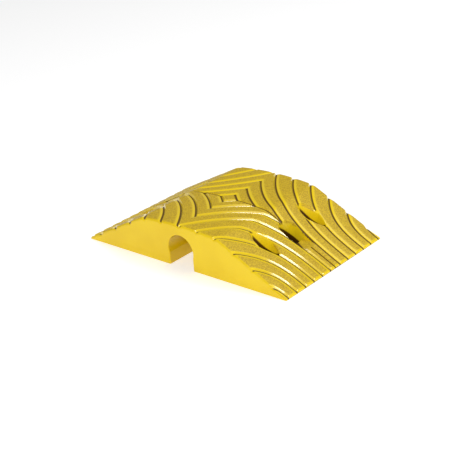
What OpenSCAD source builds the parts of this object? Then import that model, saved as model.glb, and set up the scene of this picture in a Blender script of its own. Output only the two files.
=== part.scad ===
// One element of a drive-over ramp that protects a cable laid across a road.
// Origin: middle of the base. +X along the traffic, +Y along the cable, +Z up.

/* [Ramp] */
// Length across the ramp, from toe to toe
ramp_l = 420; // [400:5:480]
// Width of one element, along the cable
ramp_w = 250; // [230:5:300]
// Height at the middle of the crown
crown_h = 75; // [74:1:85]
// Height at a shoulder, where a slope starts
shoulder_h = 70; // [68:1:72]
// Distance between the two shoulders
crown_l = 160; // [150:2:170]
// Height of the thin edge at each toe
toe_h = 4; // [3:0.5:6]
// Half length of the blend that rounds a shoulder
shoulder_blend = 8; // [4:1:12]

/* [Cable channel] */
// Width between the channel's straight walls
channel_w = 50; // [44:1:52]
// Radius of the arch, a little wider than the straight walls
arch_r = 26.5; // [26:0.25:28]
// Height of the channel at its top
channel_h = 56; // [46:1:60]
// Chamfer around each mouth of the channel
mouth_chamfer = 4; // [2:0.5:6]

/* [Outer fixing pockets] */
// Distance from the middle to an outer fixing, along the traffic
outer_fix_x = 125; // [122:1:128]
// Distance from the middle to an outer fixing, along the cable
outer_fix_y = 61; // [58:1:66]
// Width of an outer pocket
outer_pocket_w = 22; // [21:0.5:24]
// Length of an outer pocket between its two pointed ends
outer_pocket_l = 58; // [50:1:60]
// Height of an outer pocket's floor above the base
outer_floor_h = 27; // [24:1:29]

/* [Middle fixing pockets] */
// Distance from the middle to a middle fixing
middle_fix_x = 123; // [122.5:0.5:123.5]
// Width of a middle pocket
middle_pocket_w = 34; // [32:1:36]
// Distance from the middle to the uphill end of a middle pocket
middle_start_x = 108; // [106:0.5:108.5]
// Distance from the middle to the step between the deep part and the shelf
middle_step_x = 137.5; // [137.5:0.5:139]
// Distance from the middle to the outer end of the shelf
middle_end_x = 164; // [160:1:168]
// Height of the shelf above the base
shelf_h = 27; // [25:0.5:28]
// Height of the deep part's floor above the base
middle_floor_h = 15; // [12:1:18]

/* [Fixings] */
// Radius of the hole for an outer ground bolt
outer_hole_r = 4.5; // [4:0.25:5]
// Radius of the hole for a middle ground bolt
middle_hole_r = 5.5; // [5:0.25:6]
// Wall thickness of a steel sleeve
sleeve_wall = 2; // [1.5:0.25:2.5]
// Gap between a sleeve's foot and the road
sleeve_lift = 1; // [0.5:0.25:2]
// Outer radius of a washer in an outer pocket
outer_washer_r = 8; // [7.5:0.25:9]
// Outer radius of a washer in a middle pocket
middle_washer_r = 14; // [12:0.5:14]
// Thickness of an outer washer
outer_washer_t = 1.6; // [1.2:0.2:2.4]
// Thickness of a middle washer
middle_washer_t = 3; // [2:0.25:4]

/* [Hidden] */
fine = 64;
over = 1;
half_l = ramp_l / 2;
half_crown = crown_l / 2;
slope = (shoulder_h - toe_h) / (half_l - half_crown);
leg_x = channel_w / 2;
arch_h = channel_h - arch_r;
arc_steps = 16;

// Height of the crown or of the straight slope, before the shoulder is rounded
function crown_z(x) = crown_h - (crown_h - shoulder_h) * pow(x / half_crown, 2);
function slope_z(x) = shoulder_h - slope * (x - half_crown);

// A point on the rounded shoulder: t runs from 0 on the crown to 1 on the slope
function shoulder_point(t) =
    let (a = [half_crown - shoulder_blend, crown_z(half_crown - shoulder_blend)],
         b = [half_crown, shoulder_h],
         c = [half_crown + shoulder_blend, slope_z(half_crown + shoulder_blend)])
    (1 - t) * (1 - t) * a + 2 * t * (1 - t) * b + t * t * c;

// The right half of the ramp's section, from the middle of the crown to the toe
crown_half = [for (x = [0 : 12 : half_crown - shoulder_blend - 4]) [x, crown_z(x)]];
shoulder_half = [for (t = [0 : 0.125 : 1]) shoulder_point(t)];
right_half = concat(crown_half, shoulder_half, [[half_l, toe_h], [half_l, 0]]);
left_half = [for (i = [len(right_half) - 1 : -1 : 1]) [-right_half[i].x, right_half[i].y]];

// An outer pocket's outline: a round middle of radius r that runs to a point at x = -l and x = l
function lens(l, r) =
    let (open = acos(r / l), turn = (180 - 2 * open) / arc_steps)
    concat([[-l, 0]], [for (i = [arc_steps : -1 : 0]) r * [cos(open + i * turn), sin(open + i * turn)]],
           [[l, 0]], [for (i = [0 : arc_steps]) r * [cos(open + i * turn), -sin(open + i * turn)]]);

// A middle pocket's outline: a half round of radius r at the origin, then straight sides to x = l
function bay(l, r) =
    concat([[l, -r], [l, r]],
           [for (i = [0 : arc_steps]) r * [cos(90 + i * 180 / arc_steps), sin(90 + i * 180 / arc_steps)]]);

sides = [1, -1];
right_front = [outer_fix_x, -outer_fix_y];
right_middle = [middle_fix_x, 0];
right_back = [outer_fix_x, outer_fix_y];
left_front = [-outer_fix_x, -outer_fix_y];
left_middle = [-middle_fix_x, 0];
left_back = [-outer_fix_x, outer_fix_y];
outer_places = [right_front, right_back, left_front, left_back];
middle_places = [right_middle, left_middle];

// Turns a shape drawn for the right slope round to the left slope where side is -1
module on_side(side) {
    rotate([0, 0, side > 0 ? 0 : 180]) children();
}

module ramp_block() {
    translate([0, ramp_w / 2, 0]) rotate([90, 0, 0])
        linear_extrude(height = ramp_w) polygon(concat(right_half, left_half));
}

module channel() {
    translate([0, ramp_w / 2 + over, arch_h]) rotate([90, 0, 0])
        cylinder(r = arch_r, h = ramp_w + 2 * over, $fn = fine);
    translate([-leg_x, -ramp_w / 2 - over, -over])
        cube([channel_w, ramp_w + 2 * over, arch_h + over]);
}

// The chamfer round the channel's front mouth: a cone over the arch and a wedge on the legs
module mouth() {
    c = mouth_chamfer;
    translate([0, -ramp_w / 2, arch_h]) rotate([-90, 0, 0])
        cylinder(r1 = arch_r + c, r2 = arch_r, h = c, $fn = fine);
    translate([0, -ramp_w / 2, -over]) linear_extrude(height = arch_h + over)
        polygon([[-leg_x - c, 0], [leg_x + c, 0], [leg_x, c], [-leg_x, c]]);
}

module outer_pocket() {
    translate([outer_fix_x, 0, outer_floor_h]) linear_extrude(height = crown_h)
        polygon(lens(outer_pocket_l / 2, outer_pocket_w / 2));
}

// A deep bay for the fixing, and a shelf beside it that runs out of the slope
module middle_pocket() {
    r = middle_pocket_w / 2;
    start = middle_start_x + r;
    translate([start, 0, middle_floor_h]) linear_extrude(height = crown_h)
        polygon(bay(middle_step_x - start, r));
    translate([start, 0, shelf_h]) linear_extrude(height = crown_h)
        polygon(bay(middle_end_x - start, r));
}

// The hole in the moulding that holds a sleeve, from the base up to the pocket's floor
module sleeve_bore(place, hole_r) {
    translate([place.x, place.y, -over])
        cylinder(r = hole_r + sleeve_wall, h = crown_h, $fn = fine);
}

module ramp_body() {
    color([0.86, 0.69, 0.16]) difference() {
        ramp_block();
        channel();
        for (side = sides) on_side(side) {
            mouth();
            middle_pocket();
            for (end = sides) translate([0, end * outer_fix_y, 0]) outer_pocket();
        }
        for (place = outer_places) sleeve_bore(place, outer_hole_r);
        for (place = middle_places) sleeve_bore(place, middle_hole_r);
    }
}

// A steel tube that carries the bolt's load past the moulding
module sleeve(place, floor_h, hole_r) {
    color([0.72, 0.73, 0.75]) translate([place.x, place.y, sleeve_lift]) difference() {
        cylinder(r = hole_r + sleeve_wall, h = floor_h - sleeve_lift, $fn = fine);
        translate([0, 0, -over]) cylinder(r = hole_r, h = floor_h + 2 * over, $fn = fine);
    }
}

// A flat washer on a pocket's floor
module washer(place, floor_h, hole_r, r, t) {
    color([0.78, 0.79, 0.81]) translate([place.x, place.y, floor_h]) difference() {
        cylinder(r = r, h = t, $fn = fine);
        translate([0, 0, -over]) cylinder(r = hole_r, h = t + 2 * over, $fn = fine);
    }
}

module outer_sleeve(place) {
    sleeve(place, outer_floor_h, outer_hole_r);
}

module middle_sleeve(place) {
    sleeve(place, middle_floor_h, middle_hole_r);
}

module outer_washer(place) {
    washer(place, outer_floor_h, outer_hole_r, outer_washer_r, outer_washer_t);
}

module middle_washer(place) {
    washer(place, middle_floor_h, middle_hole_r, middle_washer_r, middle_washer_t);
}

ramp_body();
outer_sleeve(right_front);  // sleeve_right_front
middle_sleeve(right_middle);  // sleeve_right_middle
outer_sleeve(right_back);  // sleeve_right_back
outer_sleeve(left_front);  // sleeve_left_front
middle_sleeve(left_middle);  // sleeve_left_middle
outer_sleeve(left_back);  // sleeve_left_back
outer_washer(right_front);  // washer_right_front
middle_washer(right_middle);  // washer_right_middle
outer_washer(right_back);  // washer_right_back
outer_washer(left_front);  // washer_left_front
middle_washer(left_middle);  // washer_left_middle
outer_washer(left_back);  // washer_left_back
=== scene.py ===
from math import acos, cos, pi, radians, sin, sqrt

import bmesh
import bpy
from mathutils import Matrix, Vector


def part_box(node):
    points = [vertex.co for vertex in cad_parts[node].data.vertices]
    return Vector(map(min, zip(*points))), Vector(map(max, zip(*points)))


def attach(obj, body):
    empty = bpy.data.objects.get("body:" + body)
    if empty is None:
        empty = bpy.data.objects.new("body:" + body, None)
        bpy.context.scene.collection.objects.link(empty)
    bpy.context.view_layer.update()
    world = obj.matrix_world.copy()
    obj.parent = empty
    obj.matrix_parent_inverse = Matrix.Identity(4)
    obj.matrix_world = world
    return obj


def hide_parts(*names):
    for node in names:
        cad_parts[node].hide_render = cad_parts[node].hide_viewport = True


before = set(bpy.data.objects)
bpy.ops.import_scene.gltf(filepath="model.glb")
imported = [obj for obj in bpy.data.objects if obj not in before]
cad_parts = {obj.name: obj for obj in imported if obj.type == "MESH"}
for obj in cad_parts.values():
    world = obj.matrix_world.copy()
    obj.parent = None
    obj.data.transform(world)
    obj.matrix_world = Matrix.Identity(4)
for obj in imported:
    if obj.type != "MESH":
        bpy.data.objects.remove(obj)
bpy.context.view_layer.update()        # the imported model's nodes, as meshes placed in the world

mm = 0.001
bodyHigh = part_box("ramp_body")[1]
halfLength, halfWidth = bodyHigh.x, bodyHigh.y


class Wire:
    # one output socket that can stand in a Python expression, for the shape tree and the materials
    def __init__(self, bench, socket):
        self.bench = bench
        self.socket = socket

    def side(self, key):
        return Wire(self.bench, self.socket.node.outputs[key])

    def calc(self, operation, first, second=None, third=None):
        return self.bench.make("ShaderNodeMath", {"operation": operation}, {0: first, 1: second, 2: third})

    def __add__(self, other):
        return self.calc("ADD", self, other)

    def __radd__(self, other):
        return self.calc("ADD", other, self)

    def __sub__(self, other):
        return self.calc("SUBTRACT", self, other)

    def __rsub__(self, other):
        return self.calc("SUBTRACT", other, self)

    def __mul__(self, other):
        return self.calc("MULTIPLY", self, other)

    def __rmul__(self, other):
        return self.calc("MULTIPLY", other, self)

    def __truediv__(self, other):
        return self.calc("DIVIDE", self, other)

    def __rtruediv__(self, other):
        return self.calc("DIVIDE", other, self)

    def __pow__(self, power):
        return self.calc("POWER", self, power)

    def atLeast(self, other):
        return self.calc("MAXIMUM", self, other)

    def atMost(self, other):
        return self.calc("MINIMUM", self, other)

    def root(self):
        return self.calc("SQRT", self)

    def size(self):
        return self.calc("ABSOLUTE", self)

    def softMin(self, other, reach):
        return self.calc("SMOOTH_MIN", self, other, reach)


class Bench:
    # a node tree being built
    def __init__(self, tree):
        self.tree = tree
        tree.nodes.clear()

    def make(self, kind, settings=None, inputs=None, out=0):
        node = self.tree.nodes.new(kind)
        for name, value in (settings or {}).items():
            setattr(node, name, value)
        for key, value in (inputs or {}).items():
            if isinstance(value, Wire):
                self.tree.links.new(value.socket, node.inputs[key])
            elif isinstance(value, (list, tuple)) and value and isinstance(value[0], Wire):
                for wire in value:
                    self.tree.links.new(wire.socket, node.inputs[key])
            elif value is not None:
                node.inputs[key].default_value = value
        return Wire(self, node.outputs[out]) if len(node.outputs) else node

    def step(self, value, low, high, fromZero=True):
        # 0 below low and 1 above high, with a smooth S between them, or the other way round
        ends = (0.0, 1.0) if fromZero else (1.0, 0.0)
        return self.make("ShaderNodeMapRange", {"interpolation_type": "SMOOTHSTEP"},
                         {0: value, 1: low, 2: high, 3: ends[0], 4: ends[1]})

    def mixColour(self, factor, first, second):
        return self.make("ShaderNodeMix", {"data_type": "RGBA"}, {0: factor, 6: first, 7: second}, out=2)

    def noise(self, coords, scale, detail, roughness):
        return self.make("ShaderNodeTexNoise", {}, {
            "Vector": coords, "Scale": scale, "Detail": detail, "Roughness": roughness})


ramp = {
    "crownHeight": bodyHigh.z,
    "shoulderHeight": 70 * mm,
    "shoulderX": 80 * mm,
    "toeHeight": 4 * mm,
    "shoulderBlend": 3 * mm,
    "edgeRound": 4.5 * mm,       # along the two end faces
    "toeRound": 2.0 * mm,
    "edgeShare": 0.45,           # the most of the height that the end faces' round may take
    "edgeBlend": 2 * mm,
    "reliefShare": 0.4,          # the most of the height that the ripples may take
    "leastHeight": 0.6 * mm,
    "fineWeld": 0.004 * mm,
    "flatArea": 60 * mm * mm,    # larger faces are shaded flat
    "sharpAngle": 42,
}

ripple = {
    "count": 9,
    "depth": 3.0 * mm,
    "wallRun": 1.9 * mm,         # width of the steep outer side
    "riseRun": 12 * mm,          # width of the gentle inner side
    "risePower": 2.0,
    "slotDepth": 0.7 * mm,       # a narrow slot along the foot of the steep side
    "slotRun": 2.1 * mm,         # half its width
    "slotPlace": 1.5 * mm,       # from the foot to the middle of the slot
    "flankFade": (0.4, 0.7),     # of the glossy band on the steep side, as shares of its width
    "turnsAt": 3,                # ripples 0 to 3 start at the middle line, the others at an end face
    "toePitch": 21.4 * mm,
    "toeStart": 11 * mm,         # where ripple 3 ends at the toe
    "firstCrownY": 14 * mm,
    "crownPitch": 30 * mm,
    "crownGrowth": 3.5 * mm,
    "edgePitch": 36 * mm,        # spacing of the ripples that run out at an end face
    "centreFrom": 16 * mm,       # where the groove along the middle line starts
    "centreFade": (2 * mm, 1 * mm),
    "centreWidth": 2.8 * mm,     # half its width
    "centreDepth": 0.8,          # as a share of the ripples' depth
}


def grooveLine(k):
    # a ripple runs along y = toeY + rise * ((halfLength - x) / halfLength) ** 3
    beyond = k - ripple["turnsAt"]
    toeY = ripple["toeStart"] + ripple["toePitch"] * beyond
    if beyond <= 0:
        crownY = ripple["firstCrownY"] + ripple["crownPitch"] * k + ripple["crownGrowth"] * k * (k - 1)
        return toeY, crownY - toeY
    edgeX = ripple["edgePitch"] * beyond
    return toeY, (halfWidth - toeY) / (1 - edgeX / halfLength) ** 3


def softMin(a, b, reach):
    h = max(reach - abs(a - b), 0) / reach
    return min(a, b) - h ** 3 * reach / 6


def slopeFall():
    return (ramp["shoulderHeight"] - ramp["toeHeight"]) / (halfLength - ramp["shoulderX"])


def plainHeight(x):
    # the ramp's top without ripples
    x = abs(x)
    rise = ramp["crownHeight"] - ramp["shoulderHeight"]
    crown = ramp["crownHeight"] - rise * (x / ramp["shoulderX"]) ** 2
    slope = ramp["shoulderHeight"] - slopeFall() * (x - ramp["shoulderX"])
    return softMin(crown, slope, ramp["shoulderBlend"])


weld = 0.01 * mm         # points closer than this are made one


def meshObject(name, bm):
    mesh = bpy.data.meshes.new(name)
    bm.to_mesh(mesh)
    bm.free()
    thing = bpy.data.objects.new(name, mesh)
    bpy.context.scene.collection.objects.link(thing)
    return thing


def loft(bm, rings, closed=True, capStart=False, capEnd=False):
    # skins a list of point rings, in order
    rows = [[bm.verts.new(p) for p in ring] for ring in rings]
    count = len(rows[0])
    last = count if closed else count - 1
    for lower, upper in zip(rows, rows[1:]):
        for i in range(last):
            j = (i + 1) % count
            bm.faces.new((lower[i], lower[j], upper[j], upper[i]))
    if capStart:
        bm.faces.new(rows[0][::-1])
    if capEnd:
        bm.faces.new(rows[-1])
    return rows


def tidyShell(bm):
    bmesh.ops.remove_doubles(bm, verts=bm.verts[:], dist=weld)
    bmesh.ops.dissolve_degenerate(bm, edges=bm.edges[:], dist=weld / 2)
    bmesh.ops.recalc_face_normals(bm, faces=bm.faces[:])


def applied(thing):
    # the evaluated shape as a plain mesh, with no modifier left
    graph = bpy.context.evaluated_depsgraph_get()
    graph.update()
    mesh = bpy.data.meshes.new_from_object(thing.evaluated_get(graph))
    thing.modifiers.clear()
    old = thing.data
    thing.data = mesh
    bpy.data.meshes.remove(old)


# the quarter blank's rows of points, in mm across each ripple or from an edge
sheet = {
    "columnStep": 2.6 * mm,
    "toeColumns": [3.2, 2.0, 1.2, 0.6, 0.2, 0.0],                       # from the toe
    "edgeRows": [5.5, 4.5, 3.4, 2.4, 1.5, 0.8, 0.3],                    # from an end face
    "centreRows": [0.5, 1.2, 2.0, 2.9, 4.5],                            # from the middle line
    "wallOffsets": [-3.4, -2.2, -1.9, -1.6, -1.0, -0.5, -0.2, 0.0],     # across a ripple's wall
    "riseOffsets": [0.3, 0.8, 1.3, 1.8, 2.4, 3.1, 4.2, 6.0, 8.5],       # across its slot and rise
    "fillRows": 3,                                                      # between one ripple and the next
    "innerRows": [-24, -18, -12, -7],                                   # inside the first ripple
    "outerRows": [12, 17, 23],                                          # outside the last one
    "cutReach": 0.02 * mm,
    "sideReach": 0.05 * mm,
    "snapReach": 0.051 * mm,
    "sameLine": 1e-6,
}


def sheetColumns():
    toe = [halfLength - d * mm for d in sheet["toeColumns"]]
    count = round(toe[0] / sheet["columnStep"])
    return [toe[0] * i / count for i in range(count)] + toe


def rowPlace(k, offset, x):
    # a point at a given distance outside ripple k, measured about square to it
    toeY, rise = grooveLine(k)
    s = (halfLength - x) / halfLength
    lean = 3 * rise * s * s / halfLength
    return toeY + rise * s ** 3 + offset * mm * sqrt(1 + lean * lean)


def sheetRows():
    last = ripple["count"] - 1
    rows = [[(0, d, 1.0)] for d in sheet["innerRows"]]
    for k in range(ripple["count"]):
        offsets = sheet["wallOffsets"] + sheet["riseOffsets"]
        rows += [[(k, d, 1.0)] for d in offsets]
        if k < last:
            for i in range(1, sheet["fillRows"] + 1):
                t = i / (sheet["fillRows"] + 1)
                rows.append([(k, offsets[-1], 1 - t), (k + 1, offsets[0], t)])
    return rows + [[(last, d, 1.0)] for d in sheet["outerRows"]]


def quarterBlank():
    # a quarter of the ramp with unit height, its rows of points running along the ripples
    bm = bmesh.new()
    columns = sheetColumns()
    points = [[(x, sum(w * rowPlace(k, d, x) for k, d, w in row), 1.0) for x in columns]
              for row in sheetRows()]
    loft(bm, points, closed=False)

    def cut(y, side=0, reach=sheet["cutReach"]):
        # adds a row along y, and with a side it also clears what lies beyond
        geometry = bm.verts[:] + bm.edges[:] + bm.faces[:]
        bmesh.ops.bisect_plane(bm, geom=geometry, dist=reach, plane_co=(0, y, 0),
                               plane_no=(0, side or 1, 0), clear_outer=side != 0)

    for y, side in ((0, -1), (halfWidth, 1)):
        cut(y, side, sheet["sideReach"])
        for v in bm.verts:
            if abs(v.co.y - y) < sheet["snapReach"]:
                v.co.y = y
    for d in sheet["edgeRows"]:
        cut(halfWidth - d * mm)
    for d in sheet["centreRows"]:
        cut(d * mm)
    bmesh.ops.remove_doubles(bm, verts=bm.verts[:], dist=weld)
    bmesh.ops.triangulate(bm, faces=bm.faces[:], quad_method="BEAUTY", ngon_method="BEAUTY")
    same = sheet["sameLine"]
    endTop = sorted((v for v in bm.verts if abs(v.co.y - halfWidth) < same), key=lambda v: v.co.x)
    toeTop = sorted((v for v in bm.verts if abs(v.co.x - halfLength) < same), key=lambda v: -v.co.y)
    corner = [bm.verts.new((x, y, 0)) for x, y in
              ((0, 0), (halfLength, 0), (halfLength, halfWidth), (0, halfWidth))]
    bm.faces.new(corner[::-1])
    bm.faces.new([corner[2], corner[3]] + endTop)
    bm.faces.new([corner[1], corner[2]] + toeTop)
    print("blank:", len(bm.verts), "points")
    return meshObject("ramp_shell", bm)


# shared by the cutters of the channel, the pockets and the bores
cutting = {
    "lid": 95 * mm,              # the pocket cutters' tops, clear of the crown
    "under": 5 * mm,             # how far the channel's and bores' cutters reach below the base
    "over": 0.06 * mm,           # how far a pocket cutter's rim stands over the ramp
    "leastBlend": 0.2 * mm,
    "blendShare": 0.8,           # a rim's round, at most this share of the pocket's depth
    "boreSides": 64,
    "boreTop": 1.5 * mm,         # how far a bore's cutter reaches above its sleeve
}

channel = {
    "legX": 25 * mm,
    "archRadius": 26.5 * mm,
    "top": 56 * mm,
    "mouthRound": 1.8 * mm,
    "beyond": 6 * mm,            # how far its cutter runs past the end faces
    "arcSteps": 40,
    "roundSteps": 7,
}

outerPocket = {
    "floor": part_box("washer_right_back")[0].z,
    "seat": 8.9 * mm,            # the washer's radius and a little room
    "wallSlope": 4.5,
    "footRound": 0.4 * mm,
    "uphill": 0.54,
    "uphillPower": 1.6,          # above 2 the end is blunt, below 2 it is pointed
    "downhill": 0.41,
    "downhillPower": 1.25,
    "rimBlend": 17 * mm,
    "floorRings": (0.3, 0.6, 0.85, 0.95),        # shares of the seat
    "ringStep": 0.42 * mm,
    "rings": 34,
    "sides": 96,
}

middlePocket = {
    "floor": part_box("washer_right_middle")[0].z,
    "shelf": 27 * mm,            # the height of the shelf downhill of the bay
    "stepX": 137.5 * mm,         # where the bay ends and the shelf begins
    "stepRun": 1.0 * mm,
    "startX": 123.0 * mm,
    "endX": 174 * mm,
    "halfWidth": 14.6 * mm,
    "wallSlope": 17.0,
    "footRound": 0.4 * mm,
    "rimBlend": 24 * mm,
    "floorLines": (0, 0.3, 0.6, 0.85),           # shares of the half width
    "footLines": (-0.8, -0.4, -0.15, 0.0, 0.15, 0.3),       # mm out from the half width
    "lineStep": 0.3 * mm,
    "lines": 33,
    "shelfColumns": 22,
    "shelfGap": 1.6 * mm,
    "stepColumns": (1.3, 1.0, 0.8, 0.6, 0.4, 0.2, 0.0, -0.3),       # mm out from the step
    "bayColumns": 8,
    "bayGap": 0.8 * mm,
    "bendSides": 48,
}


def centreOf(node):
    low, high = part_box(node)
    return (low + high) / 2


def channelSection(grow):
    # the arch with its legs, pushed outwards by grow
    r = channel["archRadius"] + grow
    leg = channel["legX"] + grow
    middle = channel["top"] - channel["archRadius"]
    dip = acos(min(1, leg / r))          # the angle by which the arc runs on below its middle
    steps = channel["arcSteps"]
    arc = []
    for i in range(steps + 1):
        a = -dip + (pi + 2 * dip) * i / steps
        arc.append((r * cos(a), middle + r * sin(a)))
    return [(leg, -cutting["under"])] + arc + [(-leg, -cutting["under"])]


def channelCutter(bm):
    r = channel["mouthRound"]
    stations = []
    for i in range(channel["roundSteps"] + 1):
        t = r * (1 - cos(pi / 2 * i / channel["roundSteps"]))
        stations.append((halfWidth - t, r - sqrt(max(r * r - (r - t) ** 2, 0))))
    ends = [(halfWidth + channel["beyond"], r)] + stations
    ends += [(-y, grow) for y, grow in reversed(ends)]
    rings = [[(x, y, z) for x, z in channelSection(grow)] for y, grow in ends]
    loft(bm, rings, capStart=True, capEnd=True)


def softRamp(value, reach):
    # zero up to -reach and the value itself from +reach, with a rounded foot between
    if value <= -reach:
        return 0.0
    if value >= reach:
        return value
    return (value + reach) ** 2 / (4 * reach)


def carved(x, floor, wall, blend):
    # the pocket's wall where it is low, and just above the ramp where it is high
    top = plainHeight(x) + cutting["over"]
    reach = max(cutting["leastBlend"], min(blend, cutting["blendShare"] * (top - floor)))
    return softMin(floor + wall, top, reach)


def closeCutter(bm, outline):
    # raises the outline of an open cutter floor and puts a lid on it
    top = [bm.verts.new((v.co.x, v.co.y, cutting["lid"])) for v in outline]
    count = len(outline)
    for i in range(count):
        j = (i + 1) % count
        bm.faces.new((outline[i], outline[j], top[j], top[i]))
    bm.faces.new(top)


def outerCutter(bm, place, turn):
    # a scoop round one outer fixing, drawn for the right slope and turned for the left
    steps = outerPocket["sides"]
    levels = [outerPocket["seat"] * t for t in outerPocket["floorRings"]]
    levels += [outerPocket["seat"] + outerPocket["ringStep"] * i for i in range(outerPocket["rings"])]
    rings = []
    for e in levels:
        wall = outerPocket["wallSlope"] * softRamp(e - outerPocket["seat"], outerPocket["footRound"])
        ring = []
        for i in range(steps):
            a = 2 * pi * i / steps
            way = "downhill" if cos(a) > 0 else "uphill"
            power = outerPocket[way + "Power"]
            r = e / (abs(cos(a) * outerPocket[way]) ** power + abs(sin(a)) ** power) ** (1 / power)
            x = place.x * turn + r * cos(a)
            z = carved(x, outerPocket["floor"], wall, outerPocket["rimBlend"])
            ring.append((x * turn, place.y + r * sin(a) * turn, z))
        rings.append(ring)
    rows = loft(bm, rings)
    bm.faces.new(rows[0][::-1])
    closeCutter(bm, rows[-1])


def middleFloor(x):
    t = min(max((x - middlePocket["stepX"]) / middlePocket["stepRun"], 0), 1)
    return middlePocket["floor"] + (middlePocket["shelf"] - middlePocket["floor"]) * t * t * (3 - 2 * t)


def middleCutter(bm, turn):
    # a deep bay and its shelf, skinned from nested U lines
    start, step, end = middlePocket["startX"], middlePocket["stepX"], middlePocket["endX"]
    half, lineStep = middlePocket["halfWidth"], middlePocket["lineStep"]
    columns, bayColumns = middlePocket["shelfColumns"], middlePocket["bayColumns"]
    sides = middlePocket["bendSides"]
    straight = [end + (step + middlePocket["shelfGap"] - end) * i / columns for i in range(columns)]
    straight += [step + d * mm for d in middlePocket["stepColumns"]]
    straight += [start + (step - middlePocket["bayGap"] - start) * i / bayColumns
                 for i in range(bayColumns, 0, -1)]
    levels = [half * t for t in middlePocket["floorLines"]]
    levels += [half + d * mm for d in middlePocket["footLines"]]
    levels += [half + lineStep + lineStep * i for i in range(1, middlePocket["lines"] + 1)]
    rings = []
    for e in levels:
        wall = middlePocket["wallSlope"] * softRamp(e - half, middlePocket["footRound"])
        line = [(x, -e) for x in straight]
        line += [(start - e * sin(pi * i / sides), -e * cos(pi * i / sides)) for i in range(sides + 1)]
        line += [(x, e) for x in reversed(straight)]
        rings.append([(x * turn, y * turn, carved(x, middleFloor(x), wall, middlePocket["rimBlend"]))
                      for x, y in line])
    loft(bm, rings, closed=False)
    tidyEdge(bm)


def tidyEdge(bm):
    # welds the spine of the U lines, then closes the cutter over its open outline
    bmesh.ops.remove_doubles(bm, verts=bm.verts[:], dist=weld)
    edges = [e for e in bm.edges if e.is_boundary]
    outline = [edges[0].verts[0]]
    used = set()
    while True:
        here = outline[-1]
        ways = [e for e in here.link_edges if e.is_boundary and e not in used]
        if not ways:
            break
        used.add(ways[0])
        outline.append(ways[0].other_vert(here))
    closeCutter(bm, outline[:-1])


def pocketCutters():
    whole = bmesh.new()
    parts = []
    for side, turn in (("right", 1), ("left", -1)):
        bm = bmesh.new()
        middleCutter(bm, turn)
        parts.append(bm)
        for end in ("front", "back"):
            bm = bmesh.new()
            outerCutter(bm, centreOf(f"washer_{side}_{end}"), turn)
            parts.append(bm)
    bm = bmesh.new()
    channelCutter(bm)
    parts.append(bm)
    for bm in parts:
        tidyShell(bm)
        bmesh.ops.triangulate(bm, faces=bm.faces[:])
        mesh = bpy.data.meshes.new("cutterPart")
        bm.to_mesh(mesh)
        bm.free()
        whole.from_mesh(mesh)
        bpy.data.meshes.remove(mesh)
    print("cutters:", len(parts), "pieces")
    return meshObject("pocketCutters", whole)


def boreCutters():
    bm = bmesh.new()
    for side in ("right", "left"):
        for end in ("front", "middle", "back"):
            low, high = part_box(f"sleeve_{side}_{end}")
            centre = (low + high) / 2
            r = (high.x - low.x) / 2
            ring = []
            for i in range(cutting["boreSides"]):
                a = 2 * pi * i / cutting["boreSides"]
                ring.append((centre.x + r * cos(a), centre.y + r * sin(a)))
            heights = (-cutting["under"], high.z + cutting["boreTop"])
            loft(bm, [[(x, y, z) for x, y in ring] for z in heights], capStart=True, capEnd=True)
    tidyShell(bm)
    return meshObject("boreCutters", bm)


def plainTop(x, half, crownZ, shoulderZ, shoulderX, toeZ, blend):
    # plainHeight in nodes: a crown and a straight slope with a rounded shoulder
    crown = crownZ - (x / shoulderX) ** 2 * (crownZ - shoulderZ)
    slope = shoulderZ - (x - shoulderX) * ((shoulderZ - toeZ) / (half - shoulderX))
    return crown.softMin(slope, blend)


# where the marks for the material fade in and out
marks = {
    "topDepth": (4.0 * mm, 5.0 * mm),            # below the plain top
    "endFace": (2.4 * mm, 1.0 * mm),             # in from an end face
    "toe": (1 * mm, 3 * mm),                     # in from the toe
    "slotDepth": (1.0 * mm, 1.9 * mm),
    "lineWidth": (0.4 * mm, 1.5 * mm),           # the painted shade line along the middle
    "lineStart": (15 * mm, 18 * mm),
    "lineStop": (104 * mm, 107 * mm),            # it stops at the middle pocket
    "lineAgain": (163 * mm, 166 * mm),           # and goes on beyond its shelf
    "scoopCentre": (124 * mm, 62 * mm),          # no dark slot crosses the outer pockets
    "scoopSize": (26 * mm, 16.5 * mm),
    "scoopFade": (0.8, 1.1),
    "treadFade": (0.05, 0.30),                   # against the ripples' relief
    "shelfStart": (middlePocket["stepX"], middlePocket["stepX"] + 1 * mm),
    "shelfWidth": (13 * mm, 15 * mm),
    "shelfHeight": (24 * mm, 26 * mm),
    "pocketStart": (90 * mm, 92 * mm),
    "pocketWidth": (88 * mm, 90 * mm),
    "pocketDepth": (2 * mm, 4.5 * mm),
    "aboveBase": (3 * mm, 5 * mm),
    "wallStart": (-70 * mm, -20 * mm),           # the glossy walls fade out towards the left slope
}


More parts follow.
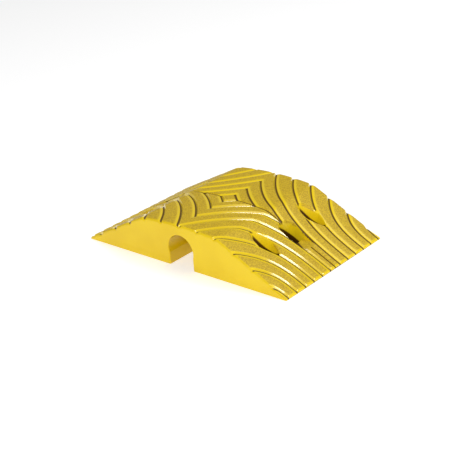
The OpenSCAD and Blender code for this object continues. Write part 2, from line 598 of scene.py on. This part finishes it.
def formTree():
    # turns the unit blank into the ramp: height and ripples by rule, two mirrors, then the cutters
    tree = bpy.data.node_groups.new("rampForm", "GeometryNodeTree")
    socketKinds = {"Blank": "NodeSocketGeometry", "Cutters": "NodeSocketObject",
                   "Bores": "NodeSocketObject", "Material": "NodeSocketMaterial"}
    names = ["Blank", "Half Length", "Half Width", "Crown Height", "Shoulder Height", "Shoulder X",
             "Toe Height", "Shoulder Blend", "Edge Round", "Toe Round", "Ripple Depth", "Wall Run",
             "Rise Run", "Slot Depth", "Slot Run", "Slot Place", "Centre From", "Centre Width",
             "Cutters", "Bores", "Material"]
    for name in names:
        kind = socketKinds.get(name, "NodeSocketFloat")
        tree.interface.new_socket(name, in_out="INPUT", socket_type=kind)
    tree.interface.new_socket("Ramp", in_out="OUTPUT", socket_type="NodeSocketGeometry")
    b = Bench(tree)
    given = b.make("NodeGroupInput")
    g = {name: given.side(name) for name in names}
    place = b.make("ShaderNodeSeparateXYZ", {}, {0: b.make("GeometryNodeInputPosition")})
    x, y, z = place, place.side("Y"), place.side("Z")

    profile = [g[name] for name in ("Half Length", "Crown Height", "Shoulder Height", "Shoulder X",
                                    "Toe Height", "Shoulder Blend")]

    def ripples(x, y):
        # a steep wall down to each line, a narrow slot at its foot, then a gentle rise outside it
        s = (g["Half Length"] - x) / g["Half Length"]
        sSquare = s * s
        deepest, slot, steep = None, None, None
        for k in range(ripple["count"]):
            toeY, riseY = grooveLine(k)
            lean = sSquare * (3 * riseY / halfLength)
            away = (y - (sSquare * s * riseY + toeY)) / (lean * lean + 1).root()
            wall = (1 + away / g["Wall Run"]).atLeast(0).atMost(1)
            back = (1 - (away / g["Rise Run"]).atLeast(0)).atLeast(0)
            groove = wall * back ** ripple["risePower"]
            narrow = b.step((away - g["Slot Place"]).size(), 0.0, g["Slot Run"], fromZero=False)
            deepest = groove if deepest is None else deepest.atLeast(groove)
            slot = narrow if slot is None else slot.atLeast(narrow)
            fromWall, toWall = (g["Wall Run"] * share for share in ripple["flankFade"])
            flank = b.step((away + g["Wall Run"] * 0.5).size(), fromWall, toWall, fromZero=False)
            steep = flank if steep is None else steep.atLeast(flank)
        return deepest, slot, steep

    # quarter rounds along the end face and the toe
    height = plainTop(x, *profile)
    edgeR = g["Edge Round"].softMin(height * ramp["edgeShare"], ramp["edgeBlend"])
    edgeIn = (edgeR - (g["Half Width"] - y)).atLeast(0)
    edgeDrop = edgeR - (edgeR * edgeR - edgeIn * edgeIn).atLeast(0).root()
    toeIn = (g["Toe Round"] - (g["Half Length"] - x)).atLeast(0)
    toeDrop = g["Toe Round"] - (g["Toe Round"] * g["Toe Round"] - toeIn * toeIn).atLeast(0).root()

    deepest, slot, steep = ripples(x, y)
    middle = (1 - y / g["Centre Width"]).atLeast(0)
    fadeBefore, fadeAfter = ripple["centreFade"]
    middle = middle * b.step(x, g["Centre From"] - fadeBefore, g["Centre From"] + fadeAfter)
    middle = middle * ripple["centreDepth"]
    deepest = deepest.atLeast(middle)
    relief = (deepest * g["Ripple Depth"] + slot * g["Slot Depth"]).atMost(height * ramp["reliefShare"])
    top = (height - edgeDrop - toeDrop - relief).atLeast(ramp["leastHeight"])
    shaped = b.make("GeometryNodeSetPosition", {}, {
        "Geometry": g["Blank"],
        "Position": b.make("ShaderNodeCombineXYZ", {}, {0: x, 1: y, 2: z * top})})

    def mirrored(part, flip):
        turned = b.make("GeometryNodeTransform", {}, {"Geometry": part, "Scale": flip})
        turned = b.make("GeometryNodeFlipFaces", {}, {"Mesh": turned})
        both = b.make("GeometryNodeJoinGeometry", {}, {"Geometry": [part, turned]})
        return b.make("GeometryNodeMergeByDistance", {}, {"Geometry": both, "Distance": weld})

    whole = mirrored(mirrored(shaped, (1, -1, 1)), (-1, 1, 1))
    for name in ("Cutters", "Bores"):
        cutter = b.make("GeometryNodeObjectInfo", {}, {"Object": g[name]}, out="Geometry")
        whole = b.make("GeometryNodeMeshBoolean", {"operation": "DIFFERENCE", "solver": "EXACT"},
                       {"Mesh 1": whole, "Mesh 2": [cutter]})

    # marks for the material: painted shade along the slots, worn treads, glossy walls and painted light on
    # the plastic between
    spot = b.make("ShaderNodeSeparateXYZ", {}, {0: b.make("GeometryNodeInputPosition")})
    out, along, up = spot.size(), spot.side("Y").size(), spot.side("Z")
    below = plainTop(out, *profile) - up
    deepest, slot, steep = ripples(out, along)
    endFrom, endTo = (g["Half Width"] - d for d in marks["endFace"])
    onTop = b.step(below, *marks["topDepth"], fromZero=False)
    onTop = onTop * b.step(along, endFrom, endTo, fromZero=False)
    # the stored slot mask is painted shade: dark lines at the ripples' feet and along the middle
    centreLine = b.step(out, *marks["lineStart"]) - b.step(out, *marks["lineStop"])
    centreLine = centreLine + b.step(out, *marks["lineAgain"])
    slot = slot.atLeast(b.step(along, *marks["lineWidth"], fromZero=False) * centreLine)
    slot = slot * b.step(below, *marks["slotDepth"]) * onTop
    (scoopX, scoopY), (scoopLength, scoopWidth) = marks["scoopCentre"], marks["scoopSize"]
    aside = ((out - scoopX) / scoopLength) ** 2 + ((along - scoopY) / scoopWidth) ** 2
    slot = slot * b.step(aside, *marks["scoopFade"])
    tread = (1 - steep) * onTop * b.step(g["Half Length"] - out, *marks["toe"])
    tread = tread * b.step(deepest, *marks["treadFade"], fromZero=False)
    onShelf = b.step(out, *marks["shelfStart"]) * b.step(along, *marks["shelfWidth"], fromZero=False)
    tread = tread.atLeast(onShelf * b.step(up, *marks["shelfHeight"]))
    # painted light: a lighter yellow over the top and inside the pockets
    inPocket = b.step(out, *marks["pocketStart"]) * b.step(along, *marks["pocketWidth"], fromZero=False)
    clean = onTop.atLeast(inPocket * b.step(below, *marks["pocketDepth"]) * b.step(up, *marks["aboveBase"]))
    wall = steep * onTop * b.step(spot, *marks["wallStart"])
    for name, value in (("slot", slot), ("tread", tread), ("wall", wall), ("clean", clean)):
        whole = b.make("GeometryNodeStoreNamedAttribute", {"data_type": "FLOAT", "domain": "POINT"}, {
            "Geometry": whole, "Name": name, "Value": value})
    whole = b.make("GeometryNodeRealizeInstances", {}, {0: whole})
    whole = b.make("GeometryNodeSetMaterial", {}, {"Geometry": whole, "Material": g["Material"]})
    b.make("NodeGroupOutput", {}, {0: whole})
    return tree


def setInputs(modifier, values):
    for item in modifier.node_group.interface.items_tree:
        if item.in_out == "INPUT" and item.name in values:
            modifier[item.identifier] = values[item.name]


def makeRamp(material):
    body = quarterBlank()
    cutters = pocketCutters()
    bores = boreCutters()
    modifier = body.modifiers.new("form", "NODES")
    modifier.node_group = formTree()
    setInputs(modifier, {
        "Half Length": halfLength, "Half Width": halfWidth,
        "Crown Height": ramp["crownHeight"], "Shoulder Height": ramp["shoulderHeight"],
        "Shoulder X": ramp["shoulderX"], "Toe Height": ramp["toeHeight"],
        "Shoulder Blend": ramp["shoulderBlend"], "Edge Round": ramp["edgeRound"],
        "Toe Round": ramp["toeRound"], "Ripple Depth": ripple["depth"], "Wall Run": ripple["wallRun"],
        "Rise Run": ripple["riseRun"], "Slot Depth": ripple["slotDepth"], "Slot Run": ripple["slotRun"],
        "Slot Place": ripple["slotPlace"], "Centre From": ripple["centreFrom"],
        "Centre Width": ripple["centreWidth"], "Cutters": cutters, "Bores": bores, "Material": material})
    applied(body)
    for cutter in (cutters, bores):
        bpy.data.objects.remove(cutter)
    bm = bmesh.new()
    bm.from_mesh(body.data)
    bmesh.ops.remove_doubles(bm, verts=bm.verts[:], dist=ramp["fineWeld"])
    bmesh.ops.dissolve_degenerate(bm, edges=bm.edges[:], dist=ramp["fineWeld"] / 2)
    for face in bm.faces:
        face.smooth = face.calc_area() < ramp["flatArea"]
    for edge in bm.edges:
        edge.smooth = len(edge.link_faces) == 2 and edge.calc_face_angle(0) < radians(ramp["sharpAngle"])
    loose = sum(1 for e in bm.edges if len(e.link_faces) != 2)
    volume = round(bm.calc_volume() * 1e6)
    print("ramp:", len(bm.faces), "faces,", loose, "open edges, volume", volume, "ml")
    bm.to_mesh(body.data)
    bm.free()
    return body


yellow = {
    "colour": (0.80, 0.545, 0.006, 1),
    "lightColour": (0.86, 0.61, 0.010, 1),
    "treadColour": (0.55, 0.355, 0.011, 1),
    "treadLight": (0.78, 0.54, 0.017, 1),
    "litColour": (0.98, 0.71, 0.010, 1),      # painted light: a lighter yellow inside the pockets, on the ripples' walls and beside the treads
    # painted shade, for the slots, the pockets and the channel
    "shadeColour": (0.075, 0.026, 0.001, 1),
    "roughness": 0.22,
    "treadRoughness": 0.50,
    "gloss": 0.30,
    "ior": 1.5,
    "wallCoat": 0.7,             # a glossy skin on the ripples' walls
    "wallRoughness": 0.15,
    "wallGloss": 1.55,
    "cloud": (11, 3, 0.55),      # each a noise's scale, detail and roughness
    "grain": (520, 2, 0.6),
    "stipple": (640, 1, 0.5),
    "stippleStretch": (1.0, 0.55, 1.0),
    "cloudFade": (0.35, 0.65),
    "stippleFade": (0.34, 0.66),
    "creaseFade": (0.03, 0.45),
    "creaseShade": 0.93,
    "pocketShadow": 0.99,
    "cloudRough": 0.10,
    "grainRough": 0.08,
    "creaseRough": 0.3,
    "grainHeight": 0.25,
    "bumpStrength": 0.35,
    "bumpDepth": 0.3 * mm,
}

# where the painted shadow lies in the pockets, measured below the plain top
shadowPlace = {
    "outerDepth": 17.0 * mm,
    "outerMiddle": 119 * mm,
    "outerReach": 28 * mm,
    "middleDepth": 11.6 * mm,
    "middleTilt": 0.75,
    "change": (26 * mm, 32 * mm),        # from the middle pocket to the outer ones
    "fade": (-0.5 * mm, 2.0 * mm),
    "leastDepth": (2 * mm, 4 * mm),
}


def pocketShadow(b, coords):
    # painted shadow: low in the pockets, and higher up the -y side of the middle ones
    place = b.make("ShaderNodeSeparateXYZ", {}, {0: coords})
    out, y, up = place.size(), place.side("Y"), place.side("Z")
    below = plainTop(out, halfLength, ramp["crownHeight"], ramp["shoulderHeight"], ramp["shoulderX"],
                     ramp["toeHeight"], ramp["shoulderBlend"]) - up
    outward = (out - shadowPlace["outerMiddle"]) / shadowPlace["outerReach"]
    outerFrom = shadowPlace["outerDepth"] * (1 - outward ** 2)
    middleFrom = shadowPlace["middleDepth"] + y * shadowPlace["middleTilt"]
    darkFrom = middleFrom + b.step(y.size(), *shadowPlace["change"]) * (outerFrom - middleFrom)
    paintedShade = b.step(below - darkFrom, *shadowPlace["fade"]) * b.step(below, *shadowPlace["leastDepth"])
    paintedShade = paintedShade * b.step(up, *marks["aboveBase"]) * b.step(out, *marks["pocketStart"])
    return paintedShade * b.step(y.size(), *marks["pocketWidth"], fromZero=False)


# painted shade inside the channel
channelTone = {
    "width": (27 * mm, 28.5 * mm),
    "height": (57 * mm, 58 * mm),
    "mouth": (0.8 * mm, 4 * mm),         # in from an end face
    "dark": 0.14,
    "crownDark": 0.5,
    "crownFade": (42 * mm, 56 * mm),
}


def channelShade(b, coords):
    # painted shade: darker inside the channel, most of all under its crown
    place = b.make("ShaderNodeSeparateXYZ", {}, {0: coords})
    out, along, up = place.size(), place.side("Y").size(), place.side("Z")
    inside = b.step(out, *channelTone["width"], fromZero=False)
    inside = inside * b.step(up, *channelTone["height"], fromZero=False)
    inside = inside * b.step(halfWidth - along, *channelTone["mouth"])
    return inside * (channelTone["dark"] + b.step(up, *channelTone["crownFade"]) * channelTone["crownDark"])


def mouldedYellow():
    material = bpy.data.materials.new("moulded yellow plastic")
    material.use_nodes = True
    b = Bench(material.node_tree)
    coords = b.make("ShaderNodeTexCoord", out="Object")
    slot, tread, wall, clean = (b.make("ShaderNodeAttribute", {"attribute_name": name}, out="Fac")
                                for name in ("slot", "tread", "wall", "clean"))
    cloud = b.noise(coords, *yellow["cloud"])
    grain = b.noise(coords, *yellow["grain"])
    stretched = b.make("ShaderNodeMapping", {}, {"Vector": coords, "Scale": yellow["stippleStretch"]})
    stipple = b.noise(stretched, *yellow["stipple"])

    colour = b.mixColour(b.step(cloud, *yellow["cloudFade"]), yellow["colour"], yellow["lightColour"])
    matt = b.mixColour(b.step(stipple, *yellow["stippleFade"]), yellow["treadColour"], yellow["treadLight"])
    # painted light on the top and inside the pockets
    colour = b.mixColour(clean, colour, yellow["litColour"])
    colour = b.mixColour(tread, colour, matt)
    # painted shade: dark slots, shadow low in the pockets and shade inside the channel
    crease = b.step(slot, *yellow["creaseFade"])
    paintedShade = (crease * yellow["creaseShade"]).atLeast(pocketShadow(b, coords) * yellow["pocketShadow"])
    paintedShade = paintedShade.atLeast(channelShade(b, coords))
    colour = b.mixColour(paintedShade, colour, yellow["shadeColour"])
    rough = yellow["roughness"] + tread * (yellow["treadRoughness"] - yellow["roughness"])
    rough = rough + (cloud - 0.5) * yellow["cloudRough"] + (grain - 0.5) * yellow["grainRough"]
    rough = rough + crease * yellow["creaseRough"]
    bump = b.make("ShaderNodeBump", {}, {
        "Strength": yellow["bumpStrength"], "Distance": yellow["bumpDepth"],
        "Height": grain * yellow["grainHeight"] + stipple * tread})
    shader = b.make("ShaderNodeBsdfPrincipled", {}, {
        "Base Color": colour, "Roughness": rough, "Specular IOR Level": yellow["gloss"],
        "IOR": yellow["ior"], "Coat Weight": wall * yellow["wallCoat"],
        "Coat Roughness": yellow["wallRoughness"], "Coat IOR": yellow["wallGloss"], "Normal": bump})
    b.make("ShaderNodeOutputMaterial", {}, {"Surface": shader})
    return material


steel = {
    "colour": (0.55, 0.56, 0.57, 1),
    "darkColour": (0.38, 0.39, 0.40, 1),
    "roughness": 0.33,
    "spangleScale": 520.0,
    "haze": (160, 4, 0.6),       # scale, detail and roughness
    "mix": 0.6,
    "fade": (0.3, 0.75),
    "hazeRough": 0.25,
    "bumpStrength": 0.2,
    "bumpDepth": 0.05 * mm,
}


def zincSteel():
    material = bpy.data.materials.new("zinc plated steel")
    material.use_nodes = True
    b = Bench(material.node_tree)
    coords = b.make("ShaderNodeTexCoord", out="Object")
    spangle = b.make("ShaderNodeTexVoronoi", {}, {"Vector": coords, "Scale": steel["spangleScale"]},
                     out="Distance")
    haze = b.noise(coords, *steel["haze"])
    mask = b.step(spangle * steel["mix"] + haze * steel["mix"], *steel["fade"])
    colour = b.mixColour(mask, steel["darkColour"], steel["colour"])
    rough = steel["roughness"] + (haze - 0.5) * steel["hazeRough"]
    bump = b.make("ShaderNodeBump", {}, {
        "Strength": steel["bumpStrength"], "Distance": steel["bumpDepth"], "Height": haze})
    shader = b.make("ShaderNodeBsdfPrincipled", {}, {
        "Base Color": colour, "Roughness": rough, "Metallic": 1.0, "Normal": bump})
    b.make("ShaderNodeOutputMaterial", {}, {"Surface": shader})
    return material


def setMaterial(thing, material):
    thing.data.materials.clear()
    thing.data.materials.append(material)


view = {
    "azimuth": 42.093,
    "elevation": 25.069,
    "distance": 1.92857,
    "roll": -4.783,
    "lens": 88.75,
    "sensor": 36,
    "shiftX": 0.0055,
    "shiftY": 0.0078,
    "near": 0.05,
    "far": 50,
}


def placeCamera():
    az, el, roll = (radians(view[key]) for key in ("azimuth", "elevation", "roll"))
    back = Vector((sin(az) * cos(el), -cos(az) * cos(el), sin(el)))
    right = Vector((0, 0, 1)).cross(back).normalized()
    up = back.cross(right)
    across = cos(roll) * right + sin(roll) * up
    upright = cos(roll) * up - sin(roll) * right
    turned = Matrix((across, upright, back)).transposed()
    data = bpy.data.cameras.new("camera")
    data.lens = view["lens"]
    data.sensor_width = view["sensor"]
    data.shift_x = view["shiftX"]
    data.shift_y = view["shiftY"]
    data.clip_start = view["near"]
    data.clip_end = view["far"]
    camera = bpy.data.objects.new("camera", data)
    camera.matrix_world = Matrix.Translation(back * view["distance"]) @ turned.to_4x4()
    bpy.context.scene.collection.objects.link(camera)
    bpy.context.scene.camera = camera


studio = {
    "worldStrength": 0.30,
    "white": (1, 1, 1, 1),
    "floorRadius": 9,
    "floorSides": 96,
    "floorDrop": 0.2 * mm,
    "floorColour": (0.92, 0.92, 0.92, 1),
    "floorRoughness": 0.6,
    "floorGlow": 0.42,
    "keyPower": 45.5,
    "keySize": (1.9, 0.24),
    "keyFrom": (1.24, -2.62, 1.78),
    "fillPower": 44,
    "fillSize": (2.0, 2.0),
    "fillFrom": (0.9, 1.2, 2.9),
}


def softLight(name, power, size, place):
    data = bpy.data.lights.new(name, "AREA")
    data.energy = power
    data.shape = "RECTANGLE"
    data.size, data.size_y = size
    lamp = bpy.data.objects.new(name, data)
    lamp.location = place
    lamp.rotation_euler = Vector(place).to_track_quat("Z", "Y").to_euler()
    bpy.context.scene.collection.objects.link(lamp)


def placeStudio():
    world = bpy.data.worlds.new("studio")
    bpy.context.scene.world = world
    world.use_nodes = True
    b = Bench(world.node_tree)
    glow = b.make("ShaderNodeBackground", {}, {
        "Color": studio["white"], "Strength": studio["worldStrength"]})
    b.make("ShaderNodeOutputWorld", {}, {"Surface": glow})
    bm = bmesh.new()
    bmesh.ops.create_circle(bm, cap_ends=True, radius=studio["floorRadius"], segments=studio["floorSides"])
    floor = meshObject("floor", bm)
    material = bpy.data.materials.new("floor")
    material.use_nodes = True
    b = Bench(material.node_tree)
    shader = b.make("ShaderNodeBsdfPrincipled", {}, {
        "Base Color": studio["floorColour"], "Roughness": studio["floorRoughness"],
        "Emission Color": studio["white"], "Emission Strength": studio["floorGlow"]})
    b.make("ShaderNodeOutputMaterial", {}, {"Surface": shader})
    setMaterial(floor, material)
    floor.location.z = -studio["floorDrop"]
    softLight("key", studio["keyPower"], studio["keySize"], studio["keyFrom"])
    softLight("fill", studio["fillPower"], studio["fillSize"], studio["fillFrom"])
    bpy.context.scene.view_settings.view_transform = "Standard"


placeCamera()
placeStudio()
print("stage: ready")

yellowMaterial = mouldedYellow()
steelMaterial = zincSteel()
print("materials: ready")

body = makeRamp(yellowMaterial)
setMaterial(body, yellowMaterial)
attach(body, "root")
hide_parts("ramp_body")

for name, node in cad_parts.items():
    if name != "ramp_body":
        setMaterial(node, steelMaterial)
print("hardware: ready")
